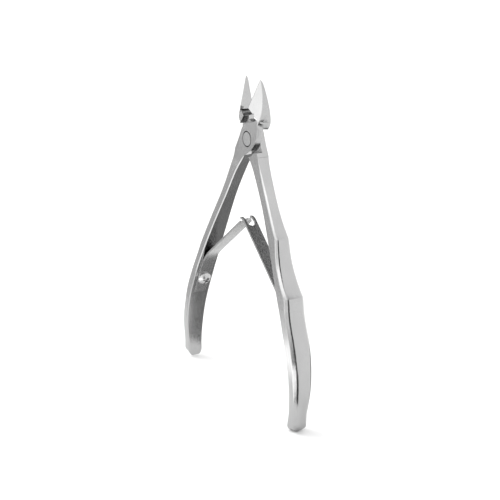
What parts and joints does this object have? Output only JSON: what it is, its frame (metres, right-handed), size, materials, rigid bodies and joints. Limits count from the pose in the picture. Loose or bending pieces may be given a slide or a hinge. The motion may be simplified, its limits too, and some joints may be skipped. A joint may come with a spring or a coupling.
{
  "type": "cuticle nipper",
  "caption": "Steel cuticle nipper with a lap joint, long bowed handles, one smooth and one with finger scallops, and two crossed leaf springs.",
  "frame": {"origin": "at the foot of the nipper, open at rest: the height of the handle ends, on the pivot's vertical line, in the middle plane of the joint", "axes": "+Z from the handle ends up to the jaw tips, +Y from the front (cutting bevels and rivet head) to the back, +X towards the scalloped handle. The pivot axis runs along Y, 96.37 mm up."},
  "size_m": [0.0801, 0.0082, 0.1178],
  "materials": {
    "satin_steel": "fine satin grind, polished on the jaws",
    "spring_steel": "rolled strip, slightly darker than the handles",
    "screw_steel": "bright plated pan head"
  },
  "bodies": {
    "back": {"back_half": "satin_steel", "pivot_rivet": "satin_steel", "right_spring_foot": "spring_steel", "right_spring_screw": "screw_steel"},
    "front": {"front_half": "satin_steel", "left_spring_foot": "spring_steel", "left_spring_screw": "screw_steel"},
    "left_blade": {"left_spring_blade": "spring_steel"},
    "right_blade": {"right_spring_blade": "spring_steel"}
  },
  "joints": [
    {"name": "pivot", "type": "hinge", "parent": "back", "child": "front", "pos_m": [0, 0, 0.09637], "axis": [0, -1, 0], "range_deg": [0, 23.9], "stiffness_Nm_per_rad": 0.8, "springref_deg": -17.19},
    {"name": "left_flex", "type": "hinge", "parent": "front", "child": "left_blade", "pos_m": [-0.02581, 0, 0.04466], "axis": [0, -1, 0], "range_deg": [0, 12]},
    {"name": "right_flex", "type": "hinge", "parent": "back", "child": "right_blade", "pos_m": [0.02581, 0, 0.04466], "axis": [0, 1, 0], "range_deg": [0, 12]}
  ],
  "couplings": [
    {"joint": "left_flex", "follows": "pivot", "ratio": 0.5},
    {"joint": "right_flex", "follows": "pivot", "ratio": 0.5}
  ]
}
